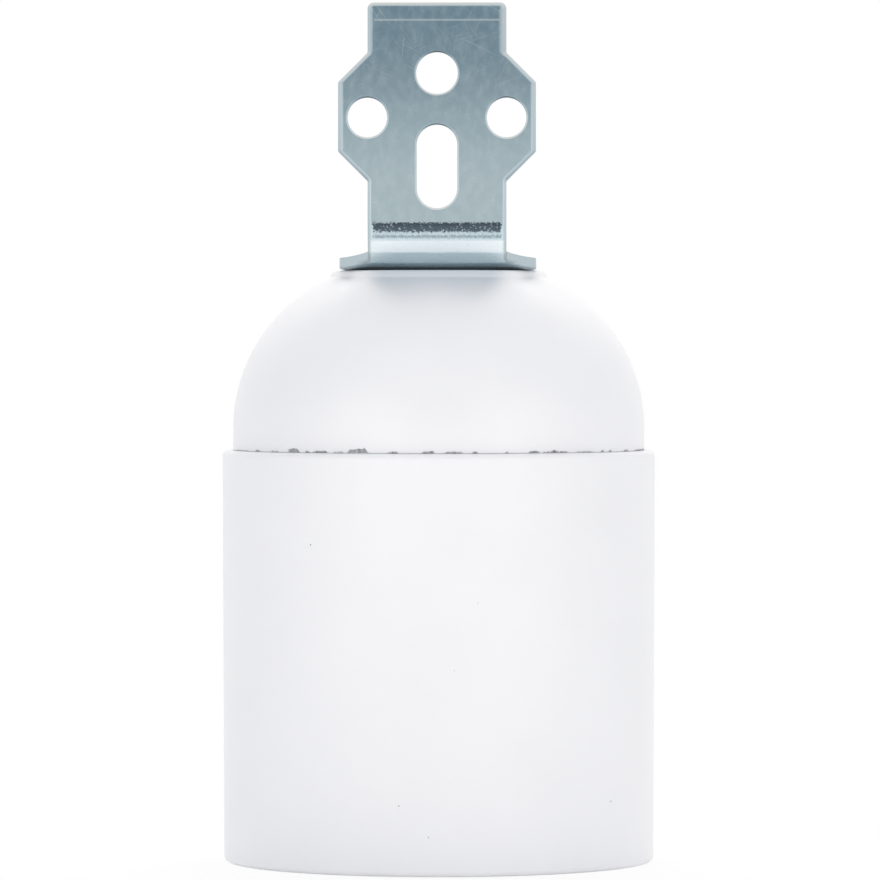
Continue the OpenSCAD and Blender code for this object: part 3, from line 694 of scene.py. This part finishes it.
# Contact carrier: a steatite insert, pressed and fired, that the cap's ribs hold on the ledge
# in the neck. It is left unglazed, with edges softened by the press tool.
def softened(node, width, angle=30):
    """A CAD node's solid as a clean mesh in millimetres, with its sharp edges rounded."""
    bm = bmesh.new()
    bm.from_mesh(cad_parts[node].data)
    bmesh.ops.scale(bm, vec=(1 / MM, 1 / MM, 1 / MM), verts=bm.verts)
    bmesh.ops.remove_doubles(bm, verts=bm.verts, dist=0.001)
    bmesh.ops.dissolve_limit(bm, angle_limit=radians(1), verts=bm.verts, edges=bm.edges)
    sharp = [e for e in bm.edges if e.is_manifold and e.calc_face_angle() > radians(angle)]
    bmesh.ops.bevel(bm, geom=sharp, offset=width, offset_type="OFFSET", affect="EDGES",
                    segments=2, profile=0.5, material=-1, clamp_overlap=True)
    return bm


def fired_steatite():
    """Unglazed steatite: matt, creamy white, with fine grit and faint grey clouding."""
    material, tree, place = new_material("fired_steatite")
    cloud = add(tree, "TexNoise", {"Vector": place, "Scale": 1 / (4 * MM), "Detail": 5.0})
    grit = add(tree, "TexNoise", {"Vector": place, "Scale": 1 / (0.2 * MM), "Detail": 3.0})
    tone = blended(tree, "#E4DFD2", "#F0ECE2", cloud.outputs["Fac"])
    spots = ranged(tree, grit.outputs["Fac"], 0.68, 0.76, 0, 0.5)
    bump = add(tree, "Bump", {"Height": grit.outputs["Fac"], "Strength": 0.5,
                              "Distance": 0.02 * MM})
    surface(tree, Base_Color=blended(tree, tone, "#A8A294", spots), Roughness=0.62,
            Normal=bump.outputs["Normal"], IOR=1.6)
    return material


finish("ceramic_carrier", softened("contact_carrier", 0.15), "head",
       [fired_steatite()], ["contact_carrier"])


# Contacts: two leaf springs stamped from phosphor bronze strip. The rolling marks run along
# the leaf, and handling has dulled the metal a little.
def rolled_bronze():
    """Rolled phosphor bronze: warm, fairly bright, with fine lines along the strip."""
    material, tree, place = new_material("rolled_phosphor_bronze")
    along = add(tree, "Mapping", {"Vector": place, "Scale": (0.05, 1, 0.05)})
    lines = add(tree, "TexNoise", {"Vector": along.outputs["Vector"], "Scale": 1 / (0.12 * MM),
                                   "Detail": 2.0})
    stain = add(tree, "TexNoise", {"Vector": place, "Scale": 1 / (2.5 * MM), "Detail": 4.0})
    tone = blended(tree, "#D9A066", "#C08A5C", lines.outputs["Fac"])
    worn = blended(tree, tone, "#8E6242", ranged(tree, stain.outputs["Fac"], 0.5, 0.8, 0, 0.6))
    surface(tree, Base_Color=worn, Metallic=1.0,
            Roughness=ranged(tree, lines.outputs["Fac"], 0.3, 0.7, 0.22, 0.4))
    return material


bronze = rolled_bronze()
for name, node, body in [("centre_leaf", "centre_contact", "centre_spring"),
                         ("side_leaf", "side_contact", "side_spring")]:
    finish(name, softened(node, 0.07), body, [bronze], [node])


# Terminals: two blocks sawn from drawn brass bar, drilled across for the wire and tapped from
# above and below. Saw and drill leave fine lines and slightly broken edges.
def drawn_brass():
    """Drawn and drilled brass: yellow, satin, with fine drawing lines and a light tarnish."""
    material, tree, place = new_material("drawn_brass")
    along = add(tree, "Mapping", {"Vector": place, "Scale": (1, 0.04, 1)})
    lines = add(tree, "TexNoise", {"Vector": along.outputs["Vector"], "Scale": 1 / (0.15 * MM),
                                   "Detail": 2.0})
    stain = add(tree, "TexNoise", {"Vector": place, "Scale": 1 / (3 * MM), "Detail": 4.0})
    tone = blended(tree, "#E2C37A", "#CFAC5E", lines.outputs["Fac"])
    worn = blended(tree, tone, "#A88748", ranged(tree, stain.outputs["Fac"], 0.5, 0.8, 0, 0.5))
    surface(tree, Base_Color=worn, Metallic=1.0,
            Roughness=ranged(tree, lines.outputs["Fac"], 0.3, 0.7, 0.24, 0.42))
    return material


brass = drawn_brass()
for pole in ["live", "neutral"]:
    node = pole + "_terminal"
    finish(pole + "_block", softened(node, 0.2), "head", [brass], [node])


# Screws: slotted cheese-head screws of zinc-plated steel. The clamping screws come down on the
# wires from above, and the lower pair holds each contact to its block through the ceramic.
def turned_steel():
    """Turned and zinc-plated steel: neutral grey, with rings from the tool and worn slots."""
    material, tree, place = new_material("turned_plated_steel")
    rings = add(tree, "TexNoise", {"Vector": place, "Scale": 1 / (0.2 * MM), "Detail": 3.0})
    tone = blended(tree, "#B9BEC2", "#DDE1E4", rings.outputs["Fac"])
    bump = add(tree, "Bump", {"Height": rings.outputs["Fac"], "Strength": 0.2,
                              "Distance": 0.01 * MM})
    surface(tree, Base_Color=tone, Metallic=1.0, Normal=bump.outputs["Normal"],
            Roughness=ranged(tree, rings.outputs["Fac"], 0.3, 0.7, 0.25, 0.4))
    return material


steel = turned_steel()
for name, body in [("live_clamp_screw", "live_screw"), ("neutral_clamp_screw", "neutral_screw"),
                   ("centre_contact_screw", "head"), ("side_contact_screw", "head")]:
    finish("turned_" + name, softened(name, 0.18), body, [steel], [name])

# Studio: a white table under a plain white background, a large soft light above and behind and fills from the left
# and the right. A grey card stands behind the camera, and only the plated metal mirrors it.
TABLE_NEAR = -0.45


def sheet_of(name, width, depth, centre, tilt=0.0):
    """A flat rectangle of the studio."""
    bm = bmesh.new()
    bmesh.ops.create_grid(bm, x_segments=1, y_segments=1, size=0.5)
    bmesh.ops.scale(bm, vec=(width, depth, 1), verts=bm.verts)
    bmesh.ops.rotate(bm, verts=bm.verts, cent=(0, 0, 0), matrix=Matrix.Rotation(tilt, 3, "X"))
    bmesh.ops.translate(bm, verts=bm.verts, vec=centre)
    mesh = bpy.data.meshes.new(name)
    bm.to_mesh(mesh)
    bm.free()
    made = bpy.data.objects.new(name, mesh)
    bpy.context.scene.collection.objects.link(made)
    return made


def white_table():
    """White laminate that the camera sees almost as bright as the background."""
    material, tree, place = new_material("white_table")
    path = add(tree, "LightPath")
    away = add(tree, "SeparateXYZ", {"Vector": place}).outputs["Y"]
    bright = ranged(tree, away, 0, 0.35, 0.9, 1)
    seen = path.outputs["Is Camera Ray"]
    for kind in ("Is Glossy Ray", "Is Transmission Ray"):
        seen = compute(tree, "MAXIMUM", seen, path.outputs[kind])
    seen = compute(tree, "MULTIPLY", seen, bright)
    matt = add(tree, "BsdfDiffuse", {"Color": linear("#FDFDFD")})
    glow = add(tree, "Emission", {"Color": linear("#FFFFFF"), "Strength": 1.0})
    both = add(tree, "MixShader", {0: seen, 1: matt.outputs["BSDF"],
                                   2: glow.outputs["Emission"]})
    add(tree, "OutputMaterial", {"Surface": both.outputs["Shader"]})
    return material


def card(name, hex_code):
    """A card that shines evenly, so that what mirrors it has one tone."""
    material, tree, place = new_material(name)
    glow = add(tree, "Emission", {"Color": linear(hex_code), "Strength": 1.0})
    add(tree, "OutputMaterial", {"Surface": glow.outputs["Emission"]})
    return material


table = sheet_of("studio_table", 3, 0.6 - TABLE_NEAR, (0, (0.6 + TABLE_NEAR) / 2, 0))
table.data.materials.append(white_table())
grey = sheet_of("studio_grey_card", 1.0, 1.2, (0, -1.2, 0.05), pi / 2)
grey.data.materials.append(card("grey_card", "#CACACA"))
grey.visible_camera = False
grey.visible_diffuse = False
grey.visible_shadow = False
grey.visible_transmission = False

world = bpy.data.worlds.new("studio")
world.use_nodes = True
world.node_tree.nodes.clear()
bpy.context.scene.world = world
path = add(world.node_tree, "LightPath")
first = add(world.node_tree, "Math", {0: path.outputs["Is Camera Ray"],
                                      1: path.outputs["Is Glossy Ray"]}, operation="MAXIMUM")
shown = add(world.node_tree, "Math", {0: first.outputs["Value"],
                                      1: path.outputs["Is Transmission Ray"]}, operation="MAXIMUM")
soft = add(world.node_tree, "Background", {"Color": linear("#E0EEFF"), "Strength": 0.4})
plain = add(world.node_tree, "Background", {"Color": linear("#FFFFFF"), "Strength": 1.0})
sky = add(world.node_tree, "MixShader", {0: shown.outputs["Value"], 1: soft.outputs["Background"],
                                         2: plain.outputs["Background"]})
add(world.node_tree, "OutputWorld", {"Surface": sky.outputs["Shader"]})

for name, size, power, where in [("soft_top", 0.8, 7.9, (0.02, 0.4, 0.92)),
                                 ("soft_left", 0.8, 5.2, (-0.7, -0.8, 0.1)),
                                 ("soft_right", 0.8, 5.2, (0.75, -0.75, 0.12))]:
    lamp = bpy.data.lights.new(name, "AREA")
    lamp.size = size
    lamp.energy = power
    lamp.color = linear("#FFF9EE")[:3]
    light = bpy.data.objects.new(name, lamp)
    light.location = where
    light.rotation_euler = (Vector((0, 0, 0.045)) - Vector(where)).to_track_quat("-Z", "Y").to_euler()
    light.visible_glossy = False
    bpy.context.scene.collection.objects.link(light)

# Camera: level with the upper part of the cap, two thirds of a metre away, with a long lens.
EYE = Vector((0.0128, -0.6754, 0.05316))
AIM = Vector((0.00012, 0, 0.04187))
lens = bpy.data.cameras.new("camera")
lens.lens = 277.8
lens.sensor_width = 36
camera = bpy.data.objects.new("camera", lens)
camera.location = EYE
camera.rotation_euler = (AIM - EYE).to_track_quat("-Z", "Y").to_euler()
bpy.context.scene.collection.objects.link(camera)
bpy.context.scene.camera = camera
bpy.context.scene.view_settings.view_transform = "Standard"
